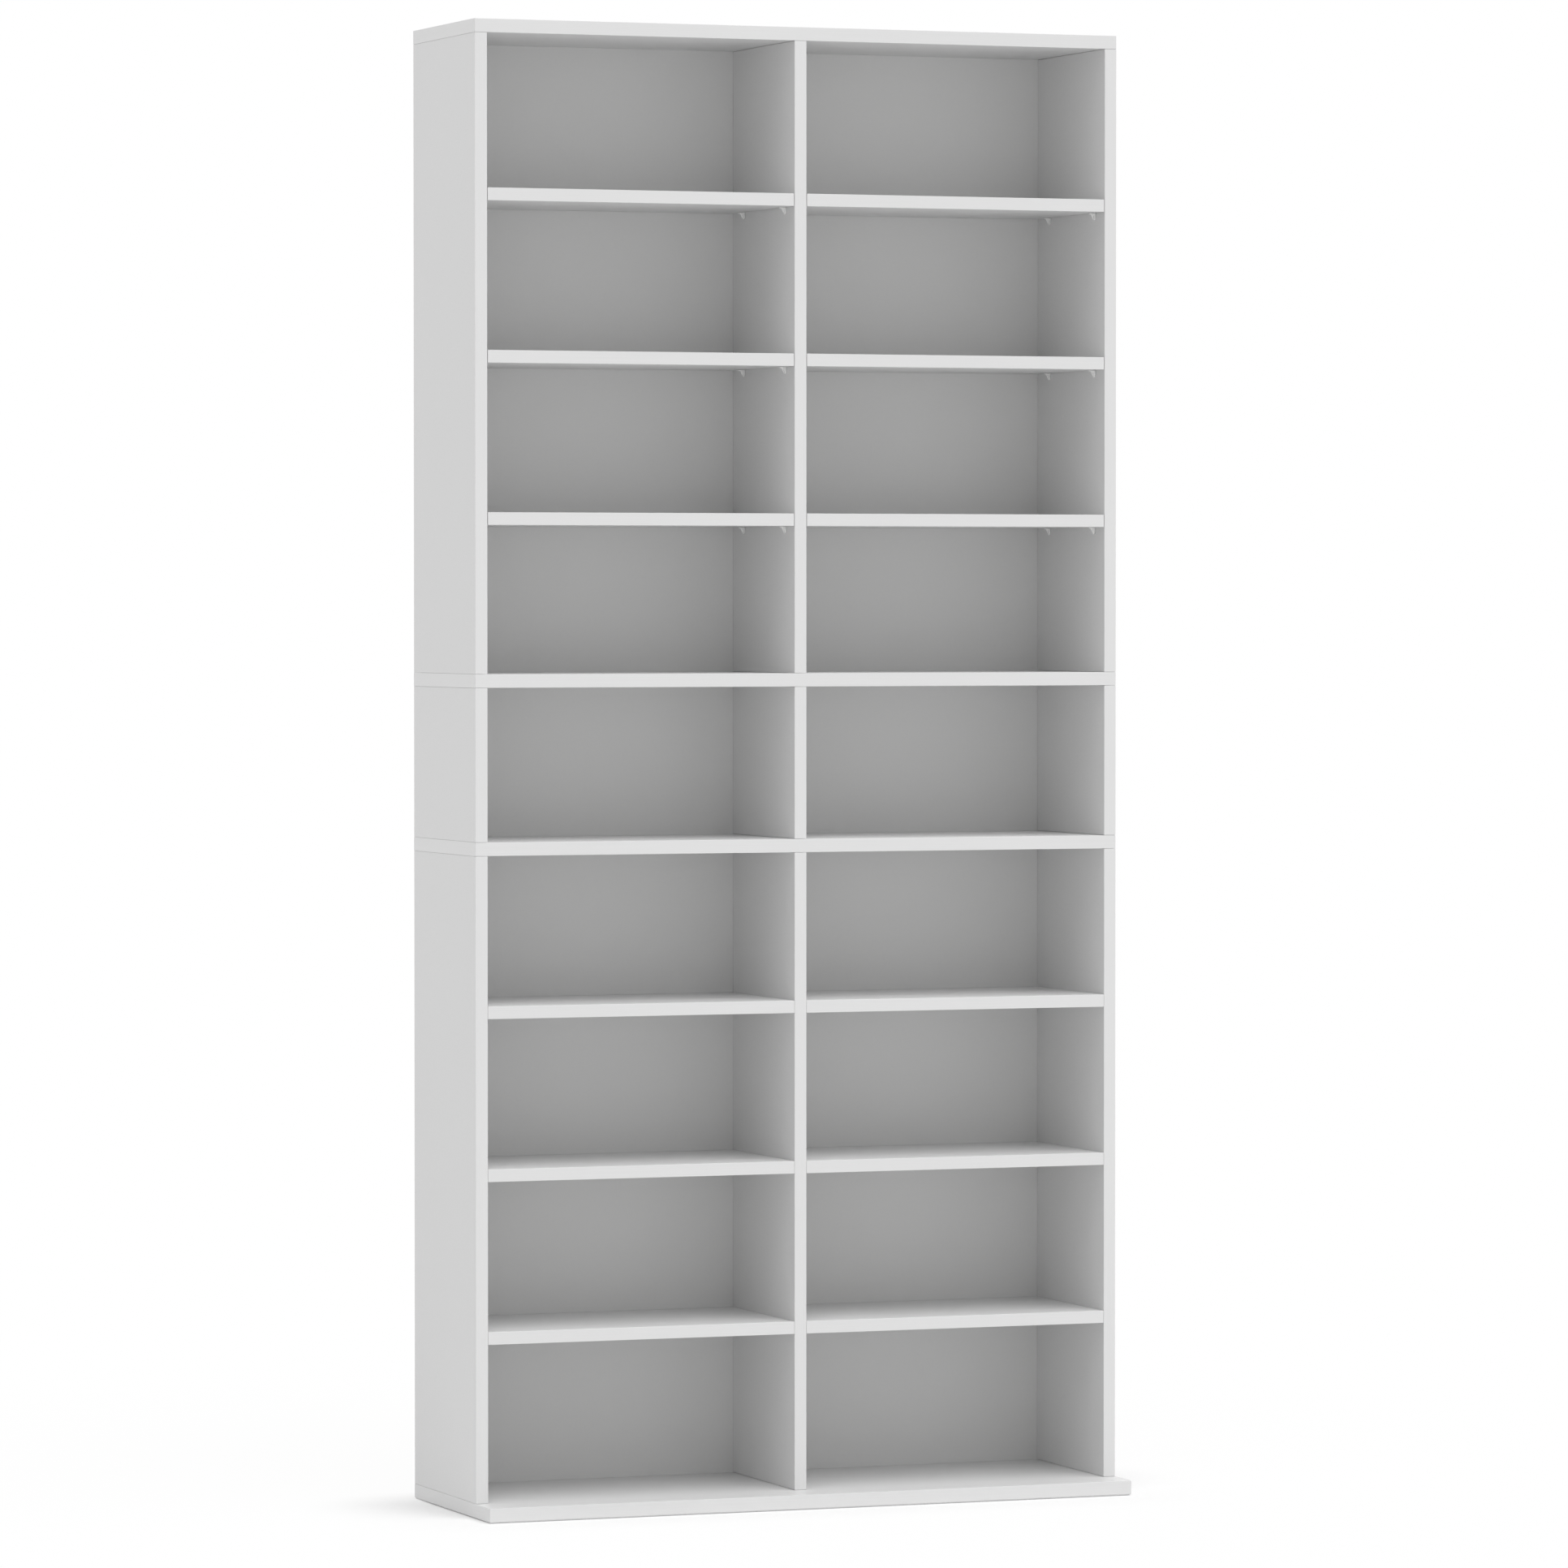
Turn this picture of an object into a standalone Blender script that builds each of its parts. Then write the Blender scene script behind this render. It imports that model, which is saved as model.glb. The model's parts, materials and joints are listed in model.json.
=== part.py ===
"""Free-standing rack of white-faced boards for discs: two columns of open compartments in three
stacked sections, on a base plate that juts out in front.

Metres, Z up. The front looks towards -Y, and the origin is on the floor, under the middle of the
base plate. Run it with Blender, or from its text editor.
"""

from math import radians

import bmesh
import bpy
from mathutils import Matrix, Vector

# Overall form
RACK_WIDTH = 0.824
CARCASS_DEPTH = 0.230
BASE_LIP = 0.050  # how far the base plate juts out in front of the sides

# Board thicknesses
BOARD = 0.015  # sides, dividers and shelves
PLATE = 0.016  # decks and top plate
BASE = 0.018
BACK = 0.003

# Clear heights, from the floor up
LOWER_HEIGHT = 0.768  # sides of the lower section
MIDDLE_HEIGHT = 0.183
UPPER_HEIGHT = 0.758
BOTTOM_ROW = 0.1885  # the tallest row, on the base plate; the rows above it share the rest
TOP_ROW = 0.183  # the row under the top plate; the rows below it share the rest
SHELVES_IN_COLUMN = 3

# Edges, seats and play
EDGE_ROUND = 0.0003
EDGE_STEPS = 2
FOOT_CHAMFER = 0.0020  # along the base plate's lower edges, in front and at both ends
SEAT = 0.0003  # gap between faces that bear on each other
SHELF_PLAY = 0.0008  # gap at each end of a loose shelf, and behind it
BLIND_SKIN = 0.005  # board left between the end of a blind hole and the far face

# Back panels, held in grooves
BACK_INSET = 0.018  # from the rear edges to the panel's rear face
GROOVE_DEPTH = 0.005

# Dowels, glued in at one end
DOWEL_DIAMETER = 0.008
DOWEL_HOLD = 0.012  # depth of each end in the grain of a board
DOWEL_FRONT = 0.045  # from a board's front edge to the front dowel
DOWEL_REAR = 0.045  # from a board's rear edge to the rear dowel
DOWEL_CHAMFER = 0.0010
HOLE_PLAY = 0.0003  # round a dowel or a peg, and past its end

# Shelf pins, one moulding each
PEG_DIAMETER = 0.005
PEG_CHAMFER = 0.0005
PEG_MEET = 0.0010  # gap between the two pegs that share a hole through the divider
PIN_WIDTH = 0.008
PIN_ROUND = 0.0030  # corners of the tongue's tip and of the flange's foot
PIN_ROUND_STEPS = 4
TONGUE_LENGTH = 0.0075
TONGUE_THICKNESS = 0.0015
FLANGE_HEIGHT = 0.0085
FLANGE_THICKNESS = 0.0018
GUSSET_THICKNESS = 0.0018
GUSSET_REACH = 0.0030  # along the tongue, from the flange
GUSSET_MARGIN = 0.0010  # from the gusset's lower tip to the flange's foot
PIN_FRONT = 0.031  # from the shelf's front edge to the middle of the front pins
PIN_REAR = 0.037  # from the shelf's rear edge to the middle of the rear pins

ROD_SIDES = 12
SMOOTH_BELOW = radians(40.0)

# Levels that follow from the heights
LOWER_FLOOR = BASE
LOWER_DECK = LOWER_FLOOR + LOWER_HEIGHT
MIDDLE_FLOOR = LOWER_DECK + PLATE
UPPER_DECK = MIDDLE_FLOOR + MIDDLE_HEIGHT
UPPER_FLOOR = UPPER_DECK + PLATE
TOP_PLATE = UPPER_FLOOR + UPPER_HEIGHT
RACK_HEIGHT = TOP_PLATE + PLATE

# Planes from front to rear, with the base plate centred on the origin
REAR = (CARCASS_DEPTH + BASE_LIP) / 2
FRONT = REAR - CARCASS_DEPTH
BASE_FRONT = FRONT - BASE_LIP
BACK_REAR = REAR - BACK_INSET
BACK_FRONT = BACK_REAR - BACK
FIXED_REAR = BACK_FRONT - SEAT  # rear edge of dividers and fixed shelves
LOOSE_REAR = BACK_FRONT - SHELF_PLAY  # rear edge of loose shelves

# Faces from left to right
SIDE_OUT = RACK_WIDTH / 2
SIDE_IN = SIDE_OUT - BOARD
DIVIDER_FACE = BOARD / 2

PEG_LENGTH = (BOARD - PEG_MEET) / 2


def clear_scene():
    for obj in list(bpy.data.objects):
        bpy.data.objects.remove(obj, do_unlink=True)


def principled(name, colour, roughness):
    material = bpy.data.materials.new(name)
    material.use_nodes = True
    shader = material.node_tree.nodes["Principled BSDF"]
    shader.inputs["Base Color"].default_value = (*colour, 1.0)
    shader.inputs["Roughness"].default_value = roughness
    shader.inputs["Metallic"].default_value = 0.0
    return material


def add_block(mesh, low, high):
    """A box from its lowest to its highest corner."""
    low, high = Vector(low), Vector(high)
    place = Matrix.Translation((low + high) / 2) @ Matrix.Diagonal((*(high - low), 1.0))
    bmesh.ops.create_cube(mesh, size=1.0, matrix=place)


def add_rod(mesh, start, end, diameter, chamfer=0.0):
    """A round rod between two points, with its ends chamfered if asked."""
    start, end = Vector(start), Vector(end)
    along = end - start
    turn = Vector((0.0, 0.0, 1.0)).rotation_difference(along).to_matrix().to_4x4()
    rod = bmesh.ops.create_cone(
        mesh,
        cap_ends=True,
        segments=ROD_SIDES,
        radius1=diameter / 2,
        radius2=diameter / 2,
        depth=along.length,
        matrix=Matrix.Translation((start + end) / 2) @ turn,
    )
    if chamfer:
        own_verts = set(rod["verts"])
        own_faces = [face for face in mesh.faces if own_verts.issuperset(face.verts)]
        rims = [edge for face in own_faces if len(face.verts) == ROD_SIDES for edge in face.edges]
        bmesh.ops.bevel(mesh, geom=rims, offset=chamfer, segments=1, affect="EDGES")


def add_prism(mesh, outline, low_y, high_y):
    """An outline of (x, z) points carried from low_y to high_y."""
    first = mesh.faces.new([mesh.verts.new((x, low_y, z)) for x, z in outline])
    swept = bmesh.ops.extrude_face_region(mesh, geom=[first])["geom"]
    moved = [item for item in swept if isinstance(item, bmesh.types.BMVert)]
    bmesh.ops.translate(mesh, vec=(0.0, high_y - low_y, 0.0), verts=moved)
    bmesh.ops.recalc_face_normals(mesh, faces=mesh.faces)


def finish_mesh(mesh, name):
    data = bpy.data.meshes.new(name)
    mesh.to_mesh(data)
    mesh.free()
    return data


def link(name, data, place=(0.0, 0.0, 0.0)):
    obj = bpy.data.objects.new(name, data)
    obj.location = place
    bpy.context.scene.collection.objects.link(obj)
    return obj


def helper(name, shapes):
    """Blocks and rods in one hidden mesh, to be cut out of a board or joined to it."""
    mesh = bmesh.new()
    for add, *sizes in shapes:
        add(mesh, *sizes)
    obj = link(name, finish_mesh(mesh, name))
    obj.hide_render = True
    obj.display_type = "WIRE"
    return obj


def boolean(obj, other, operation):
    modifier = obj.modifiers.new(other.name, "BOOLEAN")
    modifier.operation = operation
    modifier.solver = "EXACT"
    modifier.object = other


def shade(data):
    data.shade_smooth()
    data.set_sharp_from_angle(angle=SMOOTH_BELOW)


def is_foot_edge(edge):
    """Whether an edge of a block round the origin is a lower one, in front or at an end."""
    ends = [vert.co for vert in edge.verts]
    return max(end.z for end in ends) < 0.0 and min(end.y for end in ends) < 0.0


def board(name, low, high, material, cuts=(), pegs=(), edge=EDGE_ROUND, foot=0.0):
    """A flat board with eased edges, its drilled holes and grooves, and the dowels glued into it."""
    low, high = Vector(low), Vector(high)
    middle = (low + high) / 2
    mesh = bmesh.new()
    add_block(mesh, low - middle, high - middle)
    if foot:
        lower = [line for line in mesh.edges if is_foot_edge(line)]
        bmesh.ops.bevel(mesh, geom=lower, offset=foot, segments=1, affect="EDGES")
    if edge:
        edges = list(mesh.edges)
        bmesh.ops.bevel(mesh, geom=edges, offset=edge, segments=EDGE_STEPS, affect="EDGES", profile=0.5)
    data = finish_mesh(mesh, name)
    shade(data)
    data.materials.append(material)
    obj = link(name, data, middle)
    if cuts:
        boolean(obj, helper(name + "_cuts", cuts), "DIFFERENCE")
    if pegs:
        boolean(obj, helper(name + "_dowels", pegs), "UNION")
    return obj


def dowel_rows(front, rear):
    return front + DOWEL_FRONT, rear - DOWEL_REAR


def upright_dowels(x, rear, start, end):
    """A front and a rear dowel in an upright board, standing from start to end."""
    size = (DOWEL_DIAMETER, DOWEL_CHAMFER)
    return [(add_rod, (x, y, start), (x, y, end), *size) for y in dowel_rows(FRONT, rear)]


def upright_holes(x, rear, start, end):
    bore = DOWEL_DIAMETER + 2 * HOLE_PLAY
    return [(add_rod, (x, y, start), (x, y, end), bore) for y in dowel_rows(FRONT, rear)]


def level_dowels(z, start, end):
    """A front and a rear dowel in the end of a shelf, lying from start to end."""
    size = (DOWEL_DIAMETER, DOWEL_CHAMFER)
    return [(add_rod, (start, y, z), (end, y, z), *size) for y in dowel_rows(FRONT, FIXED_REAR)]


def level_holes(z, start, end):
    bore = DOWEL_DIAMETER + 2 * HOLE_PLAY
    return [(add_rod, (start, y, z), (end, y, z), bore) for y in dowel_rows(FRONT, FIXED_REAR)]


# The three upright boards of a section: name, side of the rack, and rear edge
UPRIGHTS = (
    ("left_side", -1, REAR),
    ("divider", 0, FIXED_REAR),
    ("right_side", 1, REAR),
)


def upright_middle(side):
    return side * (SIDE_OUT + SIDE_IN) / 2


def shelf_undersides(floor, height, first_row, last_row):
    """Undersides of the shelves of a section. A row that is None shares what the other row leaves."""
    rows = SHELVES_IN_COLUMN + 1
    known = first_row or last_row
    shared = (height - known - SHELVES_IN_COLUMN * BOARD) / (rows - 1)
    first = first_row or shared
    return [floor + first + n * (shared + BOARD) for n in range(SHELVES_IN_COLUMN)]


LOWER_SHELVES = shelf_undersides(LOWER_FLOOR, LOWER_HEIGHT, BOTTOM_ROW, None)
UPPER_SHELVES = shelf_undersides(UPPER_FLOOR, UPPER_HEIGHT, None, TOP_ROW)


def peg_level(underside):
    return underside - SEAT - FLANGE_HEIGHT / 2


def pin_rows():
    return ("front", FRONT + PIN_FRONT), ("rear", LOOSE_REAR - PIN_REAR)


def back_groove_across(level, upward):
    """The groove for a back panel's top or bottom edge, in the face of a plate at this level."""
    deep = GROOVE_DEPTH if upward else -GROOVE_DEPTH
    over = -deep
    low_z, high_z = sorted((level + deep, level + over))
    reach = SIDE_IN + GROOVE_DEPTH
    low = (-reach, BACK_FRONT - SEAT, low_z)
    return [(add_block, low, (reach, BACK_REAR + SEAT, high_z))]


def back_groove_upright(side, low_z, high_z):
    """The groove for a back panel's edge, down the inner face of a side."""
    low_x, high_x = sorted((side * (SIDE_IN - GROOVE_DEPTH), side * (SIDE_IN + GROOVE_DEPTH)))
    over = GROOVE_DEPTH
    low = (low_x, BACK_FRONT - SEAT, low_z - over)
    return [(add_block, low, (high_x, BACK_REAR + SEAT, high_z + over))]


def plate_holes(from_z, to_z):
    holes = []
    for _, side, rear in UPRIGHTS:
        holes += upright_holes(upright_middle(side), rear, from_z, to_z)
    return holes


def make_plates(material):
    """Base plate, two decks and top plate. Dowels stop in the outer two and run through the decks."""
    wide = SIDE_OUT
    over = PLATE
    board(
        "base_plate",
        (-wide, BASE_FRONT, 0.0),
        (wide, REAR, BASE),
        material,
        cuts=plate_holes(BLIND_SKIN, BASE + over) + back_groove_across(BASE, False),
        foot=FOOT_CHAMFER,
    )
    for name, level in (("lower_deck", LOWER_DECK), ("upper_deck", UPPER_DECK)):
        board(
            name,
            (-wide, FRONT, level),
            (wide, REAR, level + PLATE),
            material,
            cuts=plate_holes(level - over, level + PLATE + over)
            + back_groove_across(level, True)
            + back_groove_across(level + PLATE, False),
        )
    board(
        "top_plate",
        (-wide, FRONT, TOP_PLATE),
        (wide, REAR, RACK_HEIGHT),
        material,
        cuts=plate_holes(TOP_PLATE - over, RACK_HEIGHT - BLIND_SKIN) + back_groove_across(TOP_PLATE, True),
    )


def shelf_dowel_holes(side):
    """Holes of the fixed shelves' dowels: blind in a side, right through the divider."""
    start, end = -BOARD, BOARD
    if side:
        start, end = side * (SIDE_IN - BOARD), side * (SIDE_OUT - BLIND_SKIN)
    return [hole for underside in LOWER_SHELVES for hole in level_holes(underside + BOARD / 2, start, end)]


def pin_holes(side):
    """Holes of the shelf pins' pegs: blind in a side, right through the divider."""
    bore = PEG_DIAMETER + 2 * HOLE_PLAY
    start, end = -BOARD, BOARD
    if side:
        start, end = side * (SIDE_IN - BOARD), side * (SIDE_IN + PEG_LENGTH + HOLE_PLAY)
    return [
        (add_rod, (start, y, peg_level(underside)), (end, y, peg_level(underside)), bore)
        for underside in UPPER_SHELVES
        for _, y in pin_rows()
    ]


def make_uprights(material):
    """Sides and dividers. Each has dowels in its foot, which reach down through what it stands on."""
    blind_base = BASE - BLIND_SKIN - HOLE_PLAY
    through_deck = PLATE + 2 * SEAT + DOWEL_HOLD
    blind_top = PLATE - BLIND_SKIN - HOLE_PLAY
    sections = (
        ("lower", LOWER_FLOOR, LOWER_DECK, blind_base),
        ("middle", MIDDLE_FLOOR, UPPER_DECK, through_deck),
        ("upper", UPPER_FLOOR, TOP_PLATE, through_deck),
    )
    for section, floor, ceiling, reach_down in sections:
        for name, side, rear in UPRIGHTS:
            x = upright_middle(side)
            foot, head = floor + SEAT, ceiling - SEAT
            pegs = upright_dowels(x, rear, foot + DOWEL_HOLD, floor - reach_down)
            cuts = []
            if section == "upper":
                pegs += upright_dowels(x, rear, head - DOWEL_HOLD, ceiling + blind_top)
                cuts += pin_holes(side)
            else:
                cuts += upright_holes(x, rear, head - DOWEL_HOLD - HOLE_PLAY, ceiling + PLATE)
            if section == "lower":
                cuts += shelf_dowel_holes(side)
            if side:
                cuts += back_groove_upright(side, foot, head)
            board(
                f"{section}_{name}",
                (x - BOARD / 2, FRONT, foot),
                (x + BOARD / 2, rear, head),
                material,
                cuts,
                pegs,
            )


def make_back_panels(material):
    """Thin panels, tucked into grooves on all four sides behind the dividers."""
    tuck = GROOVE_DEPTH - SEAT
    wide = SIDE_IN + tuck
    sections = (
        ("lower", LOWER_FLOOR, LOWER_DECK),
        ("middle", MIDDLE_FLOOR, UPPER_DECK),
        ("upper", UPPER_FLOOR, TOP_PLATE),
    )
    for section, floor, ceiling in sections:
        low = (-wide, BACK_FRONT, floor - tuck)
        high = (wide, BACK_REAR, ceiling + tuck)
        board(f"{section}_back_panel", low, high, material, edge=0.0)


def make_fixed_shelves(material):
    """Shelves of the lower section. The left ones' dowels run through the divider into the right ones."""
    in_side = BOARD - BLIND_SKIN - HOLE_PLAY
    for number, underside in enumerate(LOWER_SHELVES, start=1):
        level = underside + BOARD / 2
        left_end, left_mid = -SIDE_IN + SEAT, -DIVIDER_FACE - SEAT
        pegs = level_dowels(level, left_end + DOWEL_HOLD, -SIDE_IN - in_side)
        pegs += level_dowels(level, left_mid - DOWEL_HOLD, DIVIDER_FACE + SEAT + DOWEL_HOLD)
        low, high = (left_end, FRONT, underside), (left_mid, FIXED_REAR, underside + BOARD)
        board(f"lower_left_shelf_{number}", low, high, material, pegs=pegs)

        right_mid, right_end = DIVIDER_FACE + SEAT, SIDE_IN - SEAT
        cuts = level_holes(level, right_mid - BOARD, right_mid + DOWEL_HOLD + HOLE_PLAY)
        pegs = level_dowels(level, right_end - DOWEL_HOLD, SIDE_IN + in_side)
        low, high = (right_mid, FRONT, underside), (right_end, FIXED_REAR, underside + BOARD)
        board(f"lower_right_shelf_{number}", low, high, material, cuts, pegs)


def make_loose_shelves(material):
    """Shelves of the upper section, which lie on their pins."""
    for number, underside in enumerate(UPPER_SHELVES, start=1):
        near, far = DIVIDER_FACE + SHELF_PLAY, SIDE_IN - SHELF_PLAY
        for column, low_x, high_x in (("left", -far, -near), ("right", near, far)):
            low, high = (low_x, FRONT, underside), (high_x, LOOSE_REAR, underside + BOARD)
            board(f"upper_{column}_shelf_{number}", low, high, material)


def is_outer_corner(edge, far):
    """Whether an edge of the pin's angle runs through the tongue's tip or through the flange's foot."""
    one, two = (vert.co for vert in edge.verts)
    across = abs(one.y - two.y) > PIN_WIDTH / 2
    at_tip = min(one.x, two.x) > far - TONGUE_THICKNESS / 2
    at_foot = max(one.z, two.z) < -FLANGE_HEIGHT + FLANGE_THICKNESS / 2
    return not across and (at_tip or at_foot)


def pin_mesh(material):
    """A shelf pin against a board whose face is at x = 0: it reaches out along +X, its top at z = 0."""
    near, far = SEAT, SEAT + TONGUE_LENGTH
    stem = near + FLANGE_THICKNESS
    angle = bmesh.new()
    outline = [
        (near, 0.0),
        (near, -FLANGE_HEIGHT),
        (stem, -FLANGE_HEIGHT),
        (stem, -TONGUE_THICKNESS),
        (far, -TONGUE_THICKNESS),
        (far, 0.0),
    ]
    add_prism(angle, outline, -PIN_WIDTH / 2, PIN_WIDTH / 2)
    corners = [edge for edge in angle.edges if is_outer_corner(edge, far)]
    radius = min(PIN_ROUND, PIN_WIDTH / 2 - SEAT)
    bmesh.ops.bevel(
        angle, geom=corners, offset=radius, segments=PIN_ROUND_STEPS, affect="EDGES", profile=0.5
    )
    body = link("shelf_pin", finish_mesh(angle, "shelf_pin"))

    sunk_x, sunk_z = near + FLANGE_THICKNESS / 2, -TONGUE_THICKNESS / 2
    tip_x, tip_z = stem + GUSSET_REACH, -FLANGE_HEIGHT + GUSSET_MARGIN
    gusset = [(sunk_x, sunk_z), (sunk_x, tip_z), (stem, tip_z), (tip_x, -TONGUE_THICKNESS), (tip_x, sunk_z)]
    web = (add_prism, gusset, -GUSSET_THICKNESS / 2, GUSSET_THICKNESS / 2)
    boolean(body, helper("gusset", [web]), "UNION")
    peg_z = -FLANGE_HEIGHT / 2
    peg = (add_rod, (sunk_x, 0.0, peg_z), (-PEG_LENGTH, 0.0, peg_z), PEG_DIAMETER, PEG_CHAMFER)
    boolean(body, helper("peg", [peg]), "UNION")

    whole = bpy.data.meshes.new_from_object(body.evaluated_get(bpy.context.evaluated_depsgraph_get()))
    for name in ("shelf_pin", "gusset", "peg"):
        bpy.data.objects.remove(bpy.data.objects[name], do_unlink=True)
    shade(whole)
    whole.materials.clear()
    whole.materials.append(material)
    return whole


def make_shelf_pins(material):
    """Four pins under each loose shelf, two on the side and two on the divider."""
    mesh = pin_mesh(material)
    faces = (
        ("left", "side", -SIDE_IN, 0.0),
        ("left", "divider", -DIVIDER_FACE, 180.0),
        ("right", "divider", DIVIDER_FACE, 0.0),
        ("right", "side", SIDE_IN, 180.0),
    )
    for number, underside in enumerate(UPPER_SHELVES, start=1):
        for column, carrier, x, turn in faces:
            for row, y in pin_rows():
                name = f"upper_{column}_shelf_{number}_pin_{carrier}_{row}"
                pin = link(name, mesh, (x, y, underside - SEAT))
                pin.rotation_euler.z = radians(turn)


def main():
    clear_scene()
    white_board = principled("white_board", (0.83, 0.83, 0.82), 0.42)
    white_back = principled("white_back", (0.80, 0.80, 0.79), 0.50)
    pin_plastic = principled("pin_plastic", (0.86, 0.86, 0.85), 0.30)
    make_plates(white_board)
    make_uprights(white_board)
    make_back_panels(white_back)
    make_fixed_shelves(white_board)
    make_loose_shelves(white_board)
    make_shelf_pins(pin_plastic)


main()
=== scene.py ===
import json
from math import pi, radians

import bpy
import numpy as np
from mathutils import Euler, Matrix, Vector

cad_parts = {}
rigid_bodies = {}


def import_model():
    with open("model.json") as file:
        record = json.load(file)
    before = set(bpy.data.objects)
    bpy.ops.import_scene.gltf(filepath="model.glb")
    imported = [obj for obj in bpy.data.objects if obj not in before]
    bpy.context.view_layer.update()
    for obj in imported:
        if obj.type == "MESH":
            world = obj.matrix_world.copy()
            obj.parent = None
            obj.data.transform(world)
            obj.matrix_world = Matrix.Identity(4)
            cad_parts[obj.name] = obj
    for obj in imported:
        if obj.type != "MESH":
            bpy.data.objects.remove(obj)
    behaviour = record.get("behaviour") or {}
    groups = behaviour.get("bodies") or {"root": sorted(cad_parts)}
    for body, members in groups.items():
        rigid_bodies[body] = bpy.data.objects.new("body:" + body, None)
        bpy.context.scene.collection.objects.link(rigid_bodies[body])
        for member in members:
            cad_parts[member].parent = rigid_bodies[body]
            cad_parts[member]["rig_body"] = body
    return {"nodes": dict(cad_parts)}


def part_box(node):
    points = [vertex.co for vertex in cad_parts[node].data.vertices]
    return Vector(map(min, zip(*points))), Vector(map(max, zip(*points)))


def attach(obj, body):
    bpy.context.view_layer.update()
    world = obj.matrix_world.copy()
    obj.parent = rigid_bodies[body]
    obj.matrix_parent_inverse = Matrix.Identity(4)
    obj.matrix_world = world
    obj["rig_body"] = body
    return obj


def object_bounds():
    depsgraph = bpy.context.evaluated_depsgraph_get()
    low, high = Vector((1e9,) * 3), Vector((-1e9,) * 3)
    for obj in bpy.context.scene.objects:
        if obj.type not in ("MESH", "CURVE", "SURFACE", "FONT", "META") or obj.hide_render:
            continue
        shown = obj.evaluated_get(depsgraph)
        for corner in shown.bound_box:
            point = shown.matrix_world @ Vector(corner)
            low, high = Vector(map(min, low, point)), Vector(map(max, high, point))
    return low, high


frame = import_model()
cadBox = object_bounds()
nodes = frame["nodes"]
xAxis, yAxis, zAxis = range(3)
print("frame loaded with", len(nodes), "nodes")

# Groups of pieces, told apart by the names of their nodes
plates = [name for name in nodes if name.endswith(("_plate", "_deck"))]
uprights = [name for name in nodes if name.endswith(("_side", "_divider"))]
shelves = [name for name in nodes if "_shelf_" in name and "_pin_" not in name]
panels = [name for name in nodes if name.endswith("_back_panel")]
pins = [name for name in nodes if "_pin_" in name]


# A wire is one output socket; the operators on it add Math nodes to its tree
class Wire:
    def __init__(self, tree, socket):
        self.tree = tree
        self.socket = socket

    def math(self, operation, first, second):
        return addNode(self.tree, "ShaderNodeMath", {"operation": operation}, {0: first, 1: second})

    def __add__(self, other):
        return self.math("ADD", self, other)

    def __radd__(self, other):
        return self.math("ADD", other, self)

    def __sub__(self, other):
        return self.math("SUBTRACT", self, other)

    def __rsub__(self, other):
        return self.math("SUBTRACT", other, self)

    def __mul__(self, other):
        return self.math("MULTIPLY", self, other)

    def __rmul__(self, other):
        return self.math("MULTIPLY", other, self)

    def __gt__(self, other):
        return self.math("GREATER_THAN", self, other)


# A wire is linked, a number or colour is set on the socket itself
def feed(tree, socket, value):
    if isinstance(value, Wire):
        tree.links.new(value.socket, socket)
    elif socket.type == "RGBA":
        socket.default_value = (*value, 1.0)
    else:
        socket.default_value = value


# Any node: its type, its settings, then what goes into its sockets
def addNode(tree, kind, settings=None, sockets=None, out=0):
    node = tree.nodes.new(kind)
    for key, value in (settings or {}).items():
        setattr(node, key, value)
    for key, value in (sockets or {}).items():
        feed(tree, node.inputs[key], value)
    return Wire(tree, node.outputs[out])


# Inputs 6 and 7 of a Mix node are its two colours, and output 2 is the mixed one
def mixColours(tree, share, first, second):
    return addNode(tree, "ShaderNodeMix", {"data_type": "RGBA"}, {0: share, 6: first, 7: second}, out=2)


def vectorMath(tree, operation, first, second=(0.0, 0.0, 0.0), out="Vector"):
    return addNode(tree, "ShaderNodeVectorMath", {"operation": operation}, {0: first, 1: second}, out)


# A colour that wanders by a small part of itself to either side
def wander(tree, share, colour, part):
    low = tuple(channel * (1.0 - part) for channel in colour)
    high = tuple(channel * (1.0 + part) for channel in colour)
    return mixColours(tree, share, low, high)


def objectPlace(tree):
    return addNode(tree, "ShaderNodeTexCoord", out="Object")


# How far a place lies along one axis
def coordinate(tree, place, axis):
    return addNode(tree, "ShaderNodeSeparateXYZ", None, {"Vector": place}, out=axis)


noiseMiddle = 0.5  # noise swings to either side of this


def noise(tree, place, scale, detail=2.0, out=0):
    return addNode(tree, "ShaderNodeTexNoise", None, {"Vector": place, "Scale": scale, "Detail": detail}, out)


# Two patterns in one, the first by its share and the second by the rest
def blendTones(share, first, second):
    return share * first + (1.0 - share) * second


# Roughness that follows a pattern a little
def roughnessOf(finish, pattern):
    return finish["roughness"] + finish["roughnessSwing"] * (pattern - noiseMiddle)


# Fine relief, with a pattern for its height
def reliefOf(tree, finish, height):
    sockets = {"Height": height, "Distance": finish["reliefDepth"], "Strength": finish["reliefStrength"]}
    return addNode(tree, "ShaderNodeBump", None, sockets)


def newFinish(name):
    material = bpy.data.materials.new(name)
    material.use_nodes = True
    return material, material.node_tree, material.node_tree.nodes["Principled BSDF"]


def setShader(tree, shader, sockets):
    for key, value in sockets.items():
        feed(tree, shader.inputs[key], value)


def dress(obj, material):
    obj.data.materials.clear()
    obj.data.materials.append(material)


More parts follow.
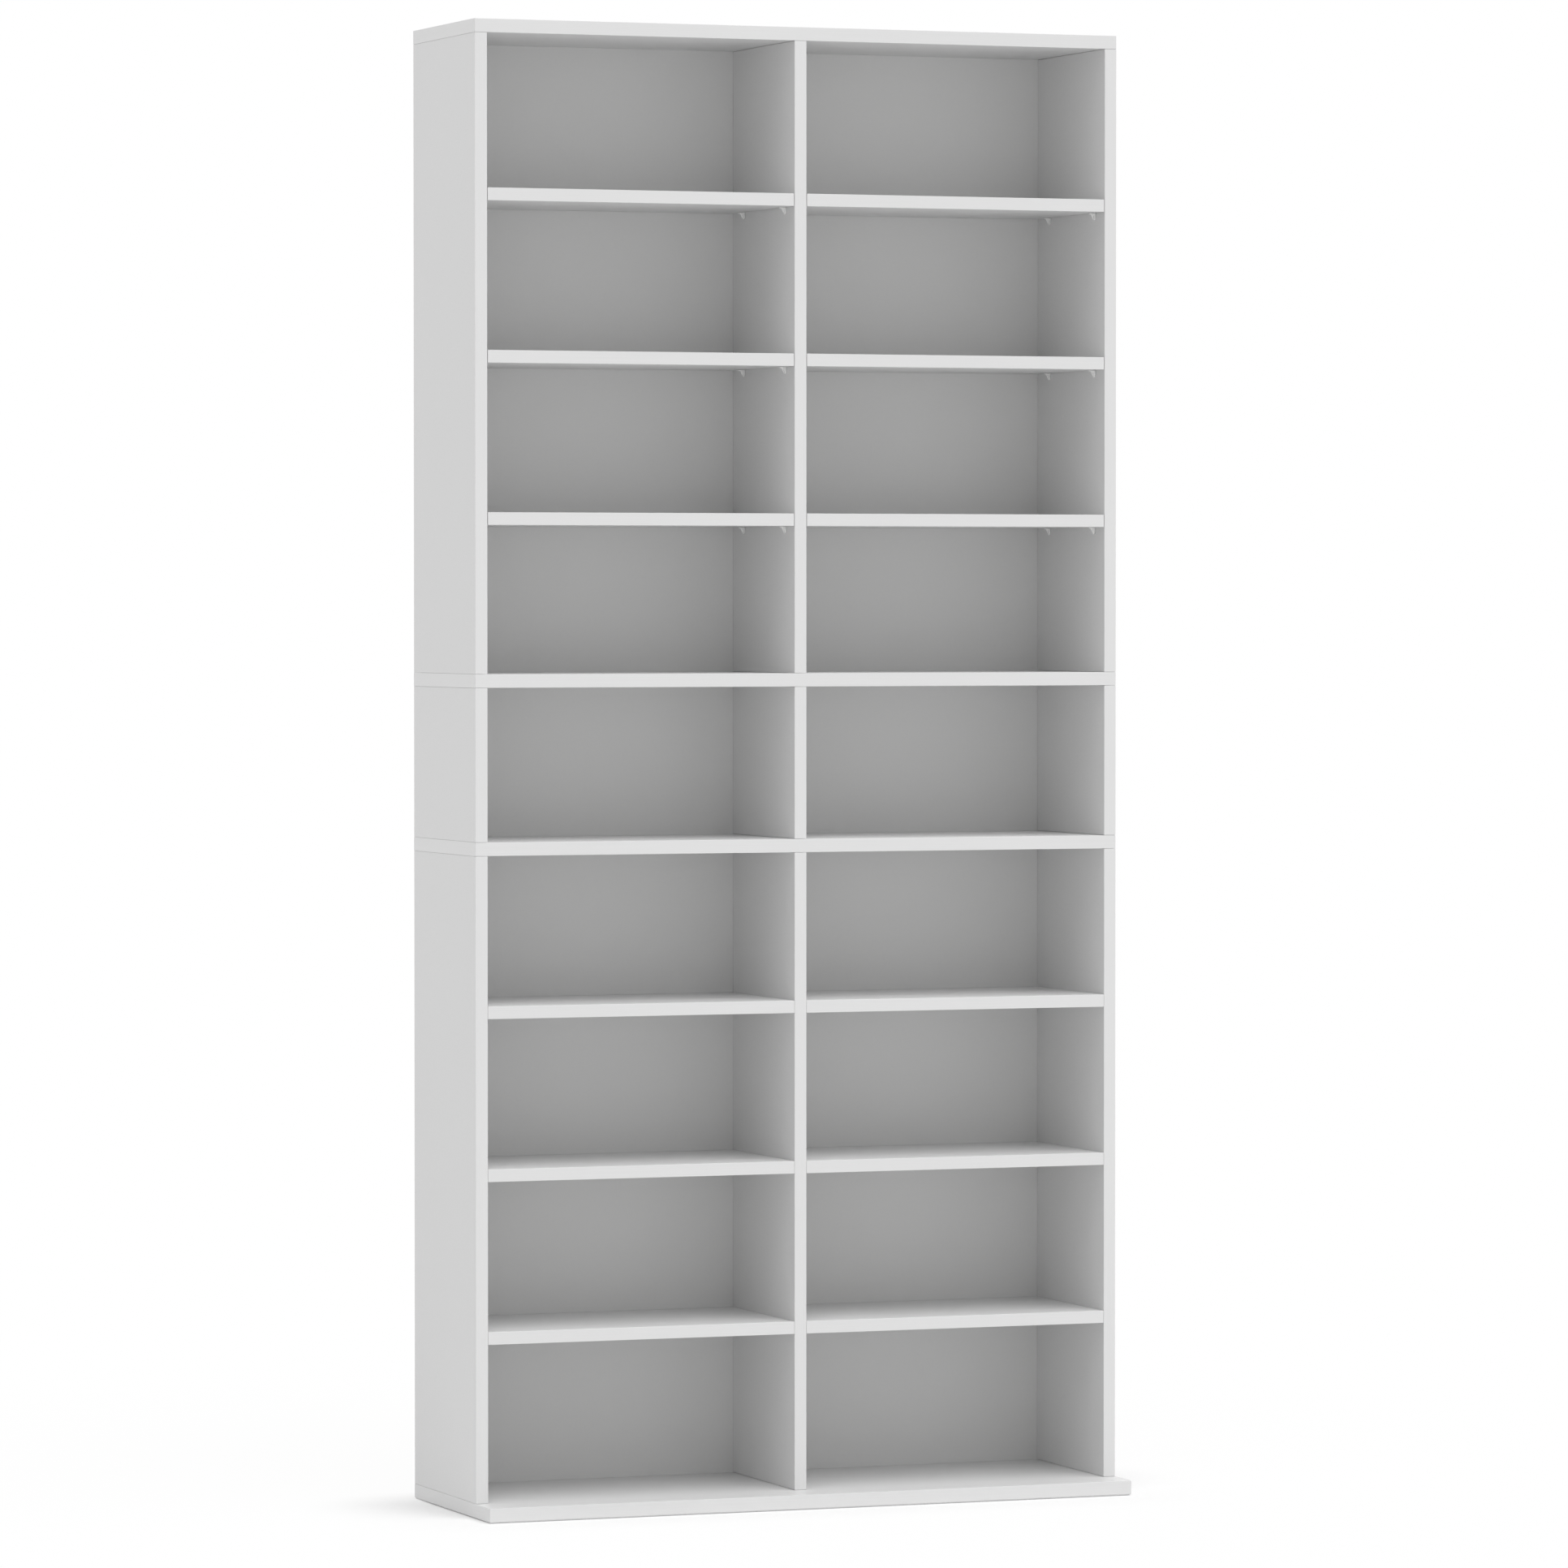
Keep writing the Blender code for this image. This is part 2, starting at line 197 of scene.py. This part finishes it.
# Boards: white melamine with a pearl grain whose pits are darkened by painted shade, and bare chipboard where
# the rear edges have no edging
boardFinish = {
    "white": (0.728, 0.728, 0.728),
    "tint": 0.06,  # how far the white wanders: mostly painted shade in the pits of the grain's relief, and a little real tone by wide clouds
    "grainShadeShare": 0.85,
    "grainSize": 0.0014,
    "grainDetail": 3.0,
    "cloudsPerMetre": 6.0,
    "roughness": 0.40,
    "roughnessSwing": 0.08,
    "reliefDepth": 0.0001,
    "reliefStrength": 0.5,
    "chipLight": (0.62, 0.47, 0.30),
    "chipDark": (0.33, 0.22, 0.12),
    "chipThin": 0.0015,  # chips lie flat in the board, thin across it and long along it
    "chipLong": 0.0050,
    "chipBend": 0.0016,  # how far the outlines of the chips wander
    "bendSize": 0.0030,  # and over what length
    "rawBehind": 0.0004,  # depth of the strip at the rear edges that shows chipboard
    "rawDulling": 0.45,  # how much rougher the chipboard is
}


# Tone of the chips: the colour of the cell at a point that noise pushes about, scaled to their length
# and thickness
def chipTone(tree, place, thinAxis):
    scale = [1.0 / boardFinish["chipLong"]] * 3
    scale[thinAxis] = 1.0 / boardFinish["chipThin"]
    bend = [boardFinish["chipBend"]] * 3
    push = noise(tree, place, 1.0 / boardFinish["bendSize"], out="Color")
    centred = vectorMath(tree, "SUBTRACT", push, [noiseMiddle] * 3)
    bent = vectorMath(tree, "ADD", place, vectorMath(tree, "MULTIPLY", centred, bend))
    sockets = {"Vector": vectorMath(tree, "MULTIPLY", bent, scale), "Scale": 1.0, "Randomness": 1.0}
    chips = addNode(tree, "ShaderNodeTexVoronoi", {"feature": "F1"}, sockets, out="Color")
    return addNode(tree, "ShaderNodeSeparateColor", None, {"Color": chips})


def makeBoardFinish(name, thinAxis):
    material, tree, shader = newFinish(name)
    place = objectPlace(tree)
    cloud = noise(tree, place, boardFinish["cloudsPerMetre"])
    grain = noise(tree, place, 1.0 / boardFinish["grainSize"], boardFinish["grainDetail"])
    tone = blendTones(boardFinish["grainShadeShare"], grain, cloud)
    # Painted shade: the white is darker where the grain's relief is low, in its pits, with a little real
    # cloudy tone besides
    white = wander(tree, tone, boardFinish["white"], boardFinish["tint"])

    chips = chipTone(tree, place, thinAxis)
    raw = mixColours(tree, chips, boardFinish["chipDark"], boardFinish["chipLight"])
    isRaw = coordinate(tree, place, yAxis) > cadBox[1].y - boardFinish["rawBehind"]

    sockets = {
        "Base Color": mixColours(tree, isRaw, white, raw),
        "Roughness": roughnessOf(boardFinish, grain) + boardFinish["rawDulling"] * isRaw,
        "Normal": reliefOf(tree, boardFinish, grain),
    }
    setShader(tree, shader, sockets)
    return material


# Edging: a slightly whiter, smoother plastic band with faint lines along its length
edgingFinish = {
    "white": (0.735, 0.735, 0.735),
    "tint": 0.045,  # how far the white wanders, mostly by the lines and a little by wide clouds
    "lineShare": 0.75,
    "lineWidth": 0.0006,
    "lineDraw": 250.0,  # how many times longer than wide
    "cloudsPerMetre": 9.0,
    "roughness": 0.30,
    "roughnessSwing": 0.10,
    "reliefDepth": 0.00005,
    "reliefStrength": 0.2,
}
bandMap = "alongBand"  # the bands' UV map, in metres along and across them


def makeEdgingFinish():
    material, tree, shader = newFinish("edgingPlastic")
    onBand = addNode(tree, "ShaderNodeUVMap", {"uv_map": bandMap})
    shrunk = (1.0 / edgingFinish["lineDraw"], 1.0, 1.0)
    drawnOut = addNode(tree, "ShaderNodeMapping", None, {"Vector": onBand, "Scale": shrunk})
    lines = noise(tree, drawnOut, 1.0 / edgingFinish["lineWidth"])
    cloud = noise(tree, objectPlace(tree), edgingFinish["cloudsPerMetre"])
    tone = blendTones(edgingFinish["lineShare"], lines, cloud)
    sockets = {
        "Base Color": wander(tree, tone, edgingFinish["white"], edgingFinish["tint"]),
        "Roughness": roughnessOf(edgingFinish, lines),
        "Normal": reliefOf(tree, edgingFinish, lines),
    }
    setShader(tree, shader, sockets)
    return material


# Back panels: white lacquer in front, bare brown hardboard behind
panelFinish = {
    "white": (0.722, 0.722, 0.720),
    "tint": 0.06,  # how far the lacquer wanders as the fibres show through it
    "brownLight": (0.42, 0.285, 0.165),
    "brownDark": (0.30, 0.19, 0.10),
    "fibreShare": 0.75,
    "fibreThin": 0.0010,
    "fibreLong": 0.0060,
    "fibreTurns": (12.0, 55.0, 101.0, 143.0),  # directions of the fibres in the panel, in degrees
    "fibreDetail": 3.0,
    "fibreContrast": 6.0,  # on the brown side, where they lie bare
    "cloudsPerMetre": 5.0,
    "cloudDetail": 3.0,
    "roughness": 0.48,
    "roughnessSwing": 0.06,
    "bareDulling": 0.25,  # how much rougher the brown side is
    "reliefDepth": 0.0001,
    "reliefStrength": 0.15,
}


# Felted fibres: the mean of noises that are each drawn out along one direction of the panel
def fibreFelt(tree, place):
    stretch = (panelFinish["fibreLong"] / panelFinish["fibreThin"], 1.0, 1.0)
    layers = []
    for turn in panelFinish["fibreTurns"]:
        sockets = {"Vector": place, "Rotation": (0.0, radians(turn), 0.0), "Scale": stretch}
        drawnOut = addNode(tree, "ShaderNodeMapping", {"vector_type": "TEXTURE"}, sockets)
        layers.append(noise(tree, drawnOut, 1.0 / panelFinish["fibreThin"], panelFinish["fibreDetail"]))
    return sum(layers[1:], layers[0]) * (1.0 / len(layers))


def makePanelFinish():
    material, tree, shader = newFinish("lacqueredHardboard")
    place = objectPlace(tree)
    low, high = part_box(panels[0])
    isBare = coordinate(tree, place, yAxis) > (low.y + high.y) / 2
    fibre = fibreFelt(tree, place)
    cloud = noise(tree, place, panelFinish["cloudsPerMetre"], panelFinish["cloudDetail"])
    tone = blendTones(panelFinish["fibreShare"], fibre, cloud)
    white = wander(tree, tone, panelFinish["white"], panelFinish["tint"])
    felt = noiseMiddle + panelFinish["fibreContrast"] * (tone - noiseMiddle)
    brown = mixColours(tree, felt, panelFinish["brownDark"], panelFinish["brownLight"])
    sockets = {
        "Base Color": mixColours(tree, isBare, white, brown),
        "Roughness": roughnessOf(panelFinish, fibre) + panelFinish["bareDulling"] * isBare,
        "Normal": reliefOf(tree, panelFinish, fibre),
    }
    setShader(tree, shader, sockets)
    return material


# Shelf pins: milky moulded plastic
pinFinish = {
    "white": (0.88, 0.88, 0.875),
    "tint": 0.015,
    "speckle": 0.0009,
    "roughness": 0.22,
    "roughnessSwing": 0.12,
    "reliefDepth": 0.00005,
    "reliefStrength": 0.2,
    "milkiness": 0.15,  # share of the light that scatters inside
    "milkDepth": (0.002, 0.002, 0.002),
}


def makePinFinish():
    material, tree, shader = newFinish("milkyPlastic")
    speckle = noise(tree, objectPlace(tree), 1.0 / pinFinish["speckle"])
    sockets = {
        "Base Color": wander(tree, speckle, pinFinish["white"], pinFinish["tint"]),
        "Roughness": roughnessOf(pinFinish, speckle),
        "Normal": reliefOf(tree, pinFinish, speckle),
        "Subsurface Weight": pinFinish["milkiness"],
        "Subsurface Radius": pinFinish["milkDepth"],
    }
    setShader(tree, shader, sockets)
    return material


melamineUpright = makeBoardFinish("melamineUpright", xAxis)
melamineFlat = makeBoardFinish("melamineFlat", zAxis)
edgingPlastic = makeEdgingFinish()
lacqueredHardboard = makePanelFinish()
milkyPlastic = makePinFinish()
for name in uprights:
    dress(nodes[name], melamineUpright)
for name in plates + shelves:
    dress(nodes[name], melamineFlat)
for name in panels:
    dress(nodes[name], lacqueredHardboard)
print("finishes on", len(plates + uprights + shelves), "boards and", len(panels), "back panels")


# Edging bands, glued on the edges of the boards that show
edging = {
    "thickness": 0.0010,
    "round": 0.00025,
    "proud": 0.0002,  # how far the band's face stands in front of the board's edge
    "overhang": 0.00002,  # how far a front band covers the board's faces
    "sideOverhang": 0.00018,  # the same for the bands at a plate's ends
    "rearEnd": 0.00005,  # how far those bands stand out behind the plate's raw rear edge
    "rim": 0.0003,  # flat strip inside the rounding, which keeps the face's shading flat
    "corner": 0.0002,  # what is left of the outline's corner radius at that strip
    "steps": 4,
    "flatWithin": 0.00001,  # points this near to a board's foremost one lie on its flat front edge
}
sharpAbove = radians(40.0)  # edges that turn by more than this are sharp


# The flat part of a board's front edge, grown by the easing round it, gives the board without its dowels.
# The base plate's flat part starts above its chamfer, and so does its band.
def frontEdge(name):
    mesh = nodes[name].data
    points = np.empty(len(mesh.vertices) * 3, np.float32)
    mesh.vertices.foreach_get("co", points)
    points = points.reshape(-1, 3).astype(float)
    foremost = points[:, yAxis].min()
    face = points[points[:, yAxis] < foremost + edging["flatWithin"]]
    inset = face.min(0) - points.min(0)
    easing = min(inset[xAxis], inset[zAxis])
    low, high = face.min(0) - easing, face.max(0) + easing
    low[yAxis], high[yAxis] = foremost, points[:, yAxis].max()
    return low, high


# A band over a rectangle of a and b, with its face towards c. u goes round the rectangle, whose corners
# are quarter circles, and v goes from the glued back to the face. Near the face the outline is drawn in
# by r (1 - cos t) while it rises by r sin t, so its edge is a quarter circle too.
def bandSurface(low, high, rise):
    turn = np.linspace(0.0, pi / 2, edging["steps"] + 1)
    angle = (np.arange(4)[:, None] * pi / 2 + turn).ravel()
    bandRound = edging["round"]
    inner = bandRound + edging["rim"]
    corner = inner + edging["corner"]
    centreA = np.repeat([high[0] - corner, low[0] + corner, low[0] + corner, high[0] - corner], len(turn))
    centreB = np.repeat([high[1] - corner, high[1] - corner, low[1] + corner, low[1] + corner], len(turn))
    drawn = np.concatenate([[0.0], bandRound * (1 - np.cos(turn)), [inner]])
    lifted = np.concatenate([[0.0], rise - bandRound * (1 - np.sin(turn)), [rise]])
    radius = corner - drawn[:, None]
    a = centreA + radius * np.cos(angle)
    b = centreB + radius * np.sin(angle)
    c = np.broadcast_to(lifted[:, None], a.shape)
    return np.stack([a, b, c], axis=2)


# Quads between neighbouring rings of a grid that closes on itself, and a cap on each end ring
def ringFaces(rings, count):
    index = np.arange(rings * count).reshape(rings, count)
    ahead = np.roll(index, -1, axis=1)
    quads = np.stack([index[:-1], ahead[:-1], ahead[1:], index[1:]], axis=2).reshape(-1, 4)
    return quads.tolist() + [index[-1].tolist(), index[0][::-1].tolist()]


def newPiece(name, points, faces, material):
    mesh = bpy.data.meshes.new(name)
    mesh.from_pydata(points.tolist(), [], faces)
    mesh.shade_smooth()
    mesh.set_sharp_from_angle(angle=sharpAbove)
    piece = bpy.data.objects.new(name, mesh)
    bpy.context.scene.collection.objects.link(piece)
    dress(piece, material)
    return piece


# Axes of a, b and c for each side, right-handed, and which way along c the band's face looks
bandAxes = {
    "front": (xAxis, zAxis, yAxis, -1),
    "right": (yAxis, zAxis, xAxis, 1),
    "left": (zAxis, yAxis, xAxis, -1),
}


def addBand(name, side, low, high):
    axisA, axisB, axisC, sign = bandAxes[side]
    over = edging["overhang" if side == "front" else "sideOverhang"]
    thickness = edging["thickness"]
    lowEnd = (low[axisA] - over, low[axisB] - over)
    highEnd = (high[axisA] + over, high[axisB] + over)
    grid = bandSurface(lowEnd, highEnd, thickness + edging["proud"])
    back = (high[axisC] if sign > 0 else low[axisC]) - sign * thickness
    points = np.empty(grid.shape)
    points[..., axisA] = grid[..., 0]
    points[..., axisB] = grid[..., 1]
    points[..., axisC] = back + sign * grid[..., 2]
    points = points.reshape(-1, 3)
    piece = newPiece(f"{name}_edging_{side}", points, ringFaces(*grid.shape[:2]), edgingPlastic)

    span = high - low
    length, across = (axisA, axisB) if span[axisA] > span[axisB] else (axisB, axisA)
    corners = np.empty(len(piece.data.loops), np.int32)
    piece.data.loops.foreach_get("vertex_index", corners)
    layer = piece.data.uv_layers.new(name=bandMap)
    layer.data.foreach_set("uv", points[corners][:, [length, across]].astype(np.float32).ravel())
    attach(piece, nodes[name]["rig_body"])
    return piece


bands = []
for name in plates + uprights + shelves:
    low, high = frontEdge(name)
    bands.append(addBand(name, "front", low, high))
    if name in plates:
        low[yAxis] += edging["thickness"] + edging["sideOverhang"]  # the side bands end behind the front one
        high[yAxis] += edging["rearEnd"] - edging["sideOverhang"]
        bands += [addBand(name, side, low, high) for side in ("left", "right")]
print("edging bands:", len(bands))


# Shelf pins keep their solids, with softened mould edges
pinEdges = {
    "weld": 0.00001,
    "flatBelow": 2.0,  # degrees; faces that turn by less than this become one
    "round": 0.00022,
    "steps": 2,
}


def softenPin(obj):
    weld = obj.modifiers.new("weld", "WELD")
    weld.merge_threshold = pinEdges["weld"]
    flat = obj.modifiers.new("flat", "DECIMATE")
    flat.decimate_type = "DISSOLVE"
    flat.angle_limit = radians(pinEdges["flatBelow"])
    soft = obj.modifiers.new("soft", "BEVEL")
    soft.width = pinEdges["round"]
    soft.segments = pinEdges["steps"]
    soft.limit_method = "ANGLE"
    soft.angle_limit = sharpAbove


for name in pins:
    dress(nodes[name], milkyPlastic)
    softenPin(nodes[name])
print("shelf pins softened:", len(pins))


# Camera at the photograph's place, level with the rack's upper half and looking slightly down
cameraSet = {
    "place": (-3.4122, -8.8961, 1.0920),
    "yaw": 21.060,  # degrees to the right of straight at the front
    "pitch": 1.359,  # degrees down
    "lens": 180.61,
    "sensor": 36.0,
    "farClip": 200.0,
}


def makeCamera():
    data = bpy.data.cameras.new("photoCamera")
    data.lens = cameraSet["lens"]
    data.sensor_width = cameraSet["sensor"]
    data.clip_end = cameraSet["farClip"]
    camera = bpy.data.objects.new("photoCamera", data)
    camera.location = cameraSet["place"]
    tilt = 90.0 - cameraSet["pitch"]  # an unturned camera looks straight down
    camera.rotation_euler = Euler((radians(tilt), 0.0, -radians(cameraSet["yaw"])))
    bpy.context.scene.collection.objects.link(camera)
    bpy.context.scene.camera = camera


makeCamera()


# Pale floor, soft sky all round and one wide key lamp, high in front and a little to the right
floorSet = {
    "reach": 40.0,
    "white": (0.90, 0.90, 0.90),
    "shadeNear": 0.90,  # how much of the rack's shadow shows beside the base plate
    "shadeFar": 0.05,
    "shadeHalf": 0.07,  # the near part is strongest along this half of its depth
    "shadeCentre": (0.0, -0.02, 0.0),
    "shadeReach": 0.17,  # distance over which it goes from near to far
    "shadeEnd": (0.8, 2.4),  # the far part fades out between these distances
}
lightSet = {
    "sky": 0.55,
    "key": 1.90,
    "keyTurn": 12.0,  # degrees to the right of the front
    "keyRise": 66.0,
    "keyWidth": 60.0,
}
plainWhite = (1.0, 1.0, 1.0)


# One where the camera sees a surface straight on, in a mirror or through glass, and zero for other light
def seenDirectly(tree):
    rays = ("Is Camera Ray", "Is Glossy Ray", "Is Transmission Ray")
    camera, glossy, through = [addNode(tree, "ShaderNodeLightPath", out=ray) for ray in rays]
    return camera + glossy + through > 0.5


# Smooth step of a value, from one at the first distance down to zero at the second
def fadeOut(tree, value, first, second):
    sockets = {"Value": value, "From Min": first, "From Max": second, "To Min": 1.0, "To Max": 0.0}
    return addNode(tree, "ShaderNodeMapRange", {"interpolation_type": "SMOOTHSTEP"}, sockets)


# Distance from a rectangle on the floor: the length of what sticks out of its half sizes round its centre
def rectangleGap(tree, place, centre, halfX, halfY):
    inside = vectorMath(tree, "ABSOLUTE", vectorMath(tree, "SUBTRACT", place, centre))
    beyond = vectorMath(tree, "SUBTRACT", inside, (halfX, halfY, 0.0))
    return vectorMath(tree, "LENGTH", vectorMath(tree, "MAXIMUM", beyond), out="Value")


# Share of the lit floor that shows, beside the base plate and further off
def floorShade(tree, place):
    gap = rectangleGap(tree, place, floorSet["shadeCentre"], cadBox[1].x, floorSet["shadeHalf"])
    near = fadeOut(tree, gap, 0.0, floorSet["shadeReach"])
    far = fadeOut(tree, vectorMath(tree, "LENGTH", place, out="Value"), *floorSet["shadeEnd"])
    return floorSet["shadeFar"] * far + (floorSet["shadeNear"] - floorSet["shadeFar"]) * near


def makeFloor():
    reach = floorSet["reach"]
    corners = np.array([(-1.0, -1.0, 0.0), (1.0, -1.0, 0.0), (1.0, 1.0, 0.0), (-1.0, 1.0, 0.0)]) * reach
    material, tree, shader = newFinish("paleFloor")
    tree.nodes.remove(shader)
    place = objectPlace(tree)
    lit = addNode(tree, "ShaderNodeBsdfDiffuse", None, {"Color": floorSet["white"]})
    white = addNode(tree, "ShaderNodeEmission", None, {"Color": plainWhite, "Strength": 1.0})
    shaded = addNode(tree, "ShaderNodeMixShader", None, {0: floorShade(tree, place), 1: white, 2: lit})
    shown = addNode(tree, "ShaderNodeMixShader", None, {0: seenDirectly(tree), 1: lit, 2: shaded})
    feed(tree, tree.nodes["Material Output"].inputs["Surface"], shown)
    newPiece("floor", corners, [(0, 1, 2, 3)], material)


# The sky is white where it is seen, and dimmer as a light
def makeSky():
    world = bpy.data.worlds.new("studio")
    bpy.context.scene.world = world
    world.use_nodes = True
    tree = world.node_tree
    background = tree.nodes["Background"]
    feed(tree, background.inputs["Color"], plainWhite)
    feed(tree, background.inputs["Strength"], lightSet["sky"] + (1.0 - lightSet["sky"]) * seenDirectly(tree))


def makeKey():
    data = bpy.data.lights.new("key", "SUN")
    data.energy = lightSet["key"]
    data.angle = radians(lightSet["keyWidth"])
    lamp = bpy.data.objects.new("key", data)
    tilt = 90.0 - lightSet["keyRise"]  # an unturned sun shines straight down
    lamp.rotation_euler = Euler((radians(tilt), 0.0, radians(lightSet["keyTurn"])))
    bpy.context.scene.collection.objects.link(lamp)


makeFloor()
makeSky()
makeKey()
bpy.context.scene.view_settings.view_transform = "Standard"
print("camera, floor and light set")
